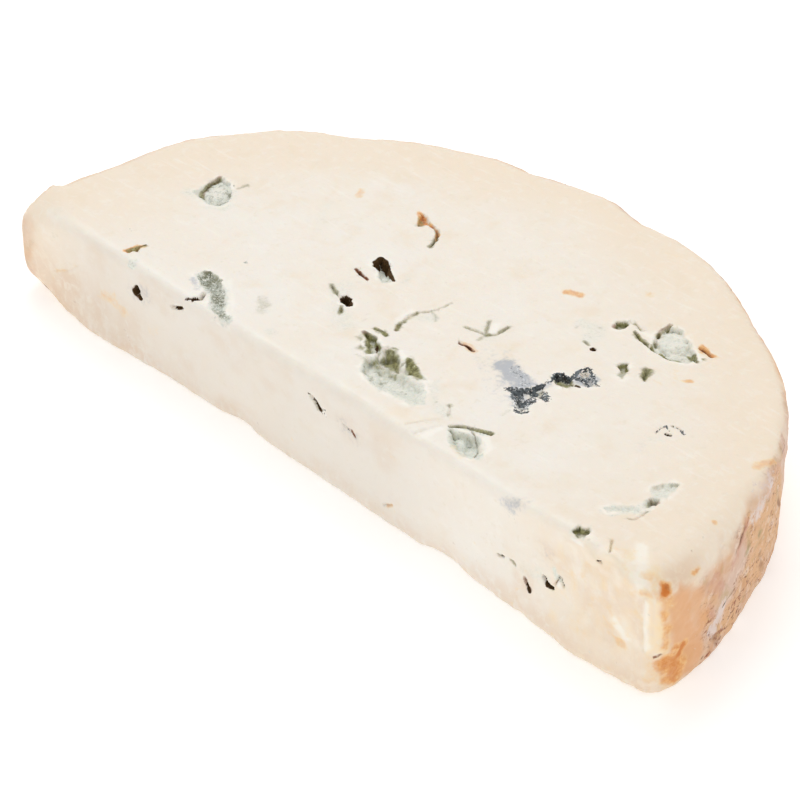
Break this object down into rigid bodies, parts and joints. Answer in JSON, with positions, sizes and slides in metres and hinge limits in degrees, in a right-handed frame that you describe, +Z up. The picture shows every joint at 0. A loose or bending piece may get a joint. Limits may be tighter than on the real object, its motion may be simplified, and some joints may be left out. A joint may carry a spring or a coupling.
{
  "type": "fourme d ambert",
  "caption": "Thick half-disc piece of fourme d ambert, a soft blue cheese: pale paste with mould-lined hollows, flat cut faces and thin rind around the arc.",
  "frame": {"origin": "middle of the bounding box on the underside, the flat face that the piece lies on", "axes": "+X along the cut face from the thin end to the thick end, +Y from the cut face to the rind's arc, +Z up through the thickness"},
  "size_m": [0.1356, 0.065, 0.0208],
  "materials": {
    "cheese": "soft moist paste with a faint sheen, blue-green mould in its hollows and a dry brownish rind"
  },
  "bodies": {
    "root": {"cheese": "cheese"}
  },
  "joints": []
}
